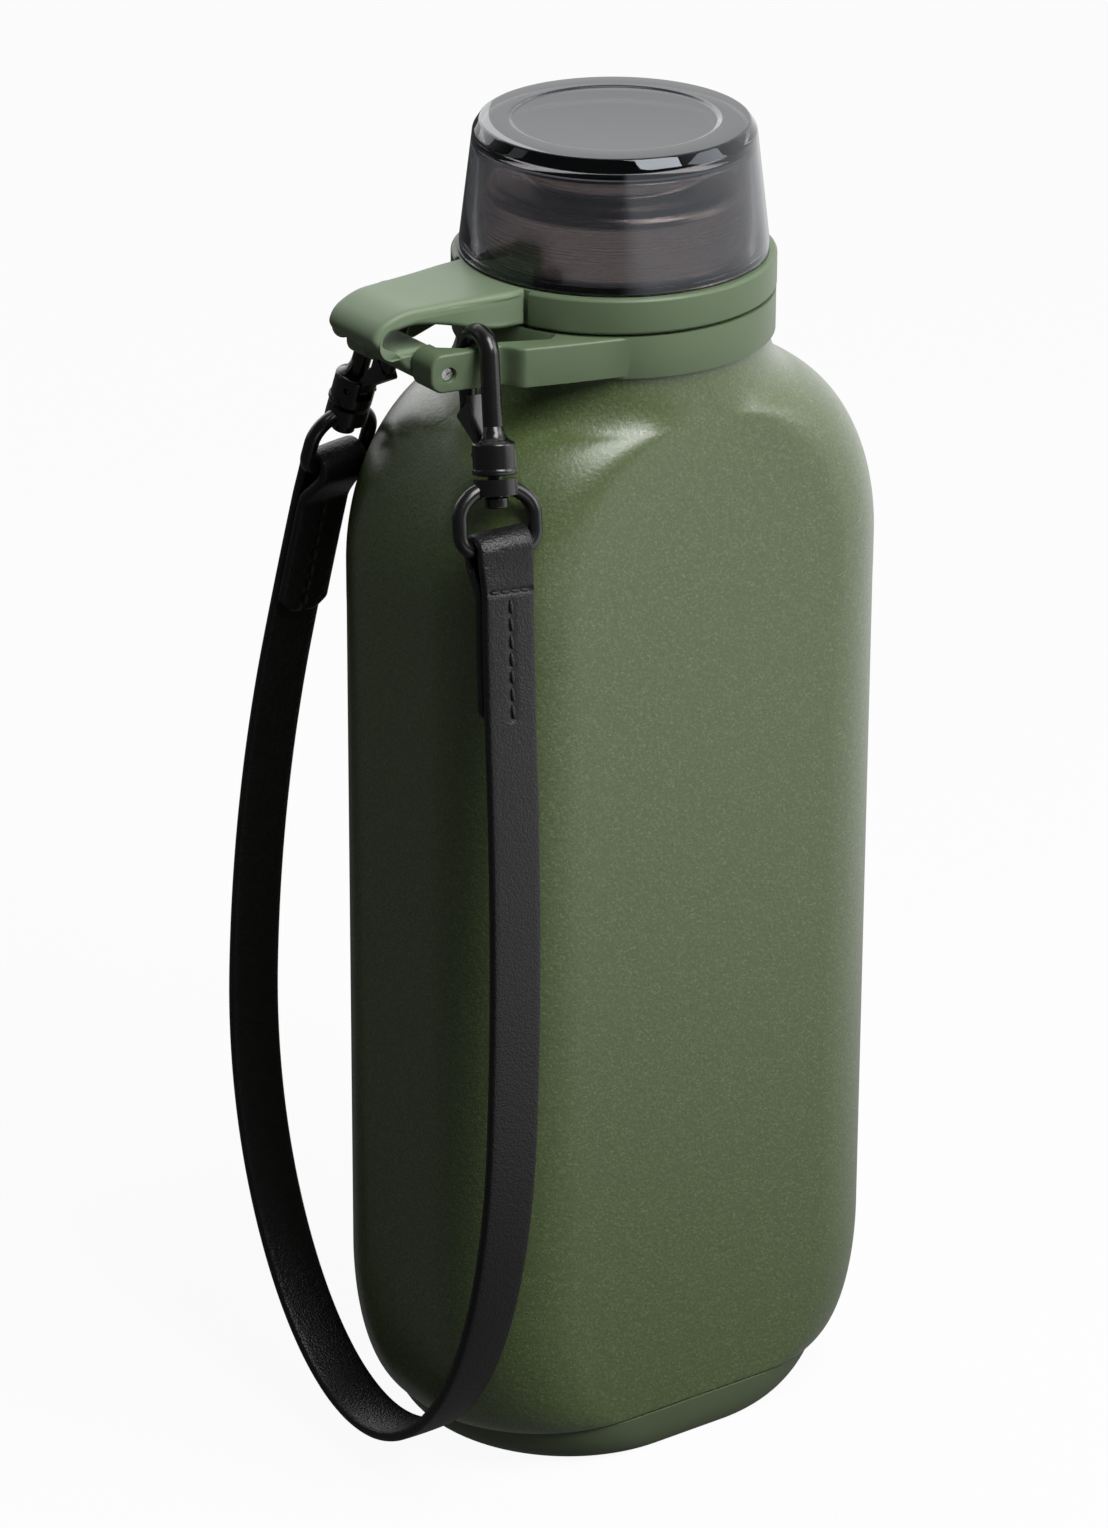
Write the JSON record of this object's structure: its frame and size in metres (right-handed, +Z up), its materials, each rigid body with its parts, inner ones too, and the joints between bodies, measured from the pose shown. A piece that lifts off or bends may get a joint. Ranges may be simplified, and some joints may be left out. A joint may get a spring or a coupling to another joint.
{
  "type": "flattened vacuum flask with hooked carry strap",
  "caption": "Flattened double-walled steel flask with a smoked screw cap on a soft tether, a collar with arms and a leather carry strap on swivel snap hooks.",
  "frame": {"origin": "centre of the flat underside of the base, where the flask stands", "axes": "+Z up along the neck and cap axis; +X along the wide side, with the arms and the strap at -X; +Y through the narrow depth"},
  "size_m": [0.1171, 0.096, 0.2819],
  "materials": {
    "olive_powder_coat": "fine sparkling powder coat, satin",
    "liner_steel": "satin",
    "spout_steel": "brushed, warm grey",
    "glass_seal": "fired, glossy",
    "getter_metal": "sintered, matt",
    "green_plastic": "smooth satin moulding",
    "cup_plastic": "smooth satin moulding",
    "tether_plastic": "soft elastomer, satin",
    "pin_steel": "polished",
    "smoked_clear": "smoked transparent plastic, polished",
    "stopper_plastic": "dark, polished",
    "gasket_silicone": "soft, matt",
    "black_metal": "black, glossy",
    "black_leather": "pebbled, painted edges",
    "seam_thread": "waxed thread",
    "spring_wire": "drawn wire"
  },
  "bodies": {
    "flask": {"outer_shell": "olive_powder_coat", "inner_liner": "liner_steel", "vacuum_base_plate": "liner_steel", "getter_pill": "getter_metal", "seal_bead": "glass_seal", "base_cup": "cup_plastic", "neck_collar": "green_plastic", "hinge_pin": "pin_steel", "spout": "spout_steel"},
    "ring_and_tether": {"cap_ring": "green_plastic", "tether": "tether_plastic"},
    "cap": {"cap_shell": "smoked_clear", "cap_stopper": "stopper_plastic", "lip_gasket": "gasket_silicone"},
    "carry_strap": {"strap": "black_leather", "front_ring": "black_metal", "back_ring": "black_metal", "front_stitches": "seam_thread", "back_stitches": "seam_thread"},
    "front_snap": {"front_hook": "black_metal", "front_swivel_post": "black_metal", "front_gate_pin": "black_metal", "front_gate_spring": "spring_wire"},
    "front_lever": {"front_gate": "black_metal"},
    "back_snap": {"back_hook": "black_metal", "back_swivel_post": "black_metal", "back_gate_pin": "black_metal", "back_gate_spring": "spring_wire"},
    "back_lever": {"back_gate": "black_metal"}
  },
  "joints": [
    {"name": "cap_lift", "type": "slide", "parent": "flask", "child": "ring_and_tether", "axis": [0, 0, 1], "range_m": [0, 0.0055], "deforming": ["tether"]},
    {"name": "cap_turn", "type": "hinge", "parent": "ring_and_tether", "child": "cap", "pos_m": [0, 0, 0.2484], "axis": [0, 0, 1], "range_deg": [0, 330]},
    {"name": "strap_swing", "type": "hinge", "parent": "flask", "child": "carry_strap", "pos_m": [-0.0436, 0, 0.246], "axis": [0, 1, 0], "range_deg": [0, 8]},
    {"name": "front_swivel", "type": "hinge", "parent": "carry_strap", "child": "front_snap", "pos_m": [-0.04646, -0.02515, 0.22473], "axis": [0.1228, 0.2569, 0.9586], "range_deg": [-5, 5]},
    {"name": "front_gate_turn", "type": "hinge", "parent": "front_snap", "child": "front_lever", "pos_m": [-0.04597, -0.0218, 0.22794], "axis": [0.9924, -0.0318, -0.1186], "range_deg": [0, 12], "stiffness_Nm_per_rad": 0.002, "springref_deg": -8.59},
    {"name": "back_swivel", "type": "hinge", "parent": "carry_strap", "child": "back_snap", "pos_m": [-0.04646, 0.02515, 0.22473], "axis": [0.1228, -0.2569, 0.9586], "range_deg": [-5, 5]},
    {"name": "back_gate_turn", "type": "hinge", "parent": "back_snap", "child": "back_lever", "pos_m": [-0.04597, 0.0218, 0.22794], "axis": [-0.9924, -0.0318, 0.1186], "range_deg": [0, 12], "stiffness_Nm_per_rad": 0.002, "springref_deg": -8.59}
  ],
  "couplings": [
    {"joint": "cap_lift", "follows": "cap_turn", "m_per_rad": 0.00095493}
  ]
}
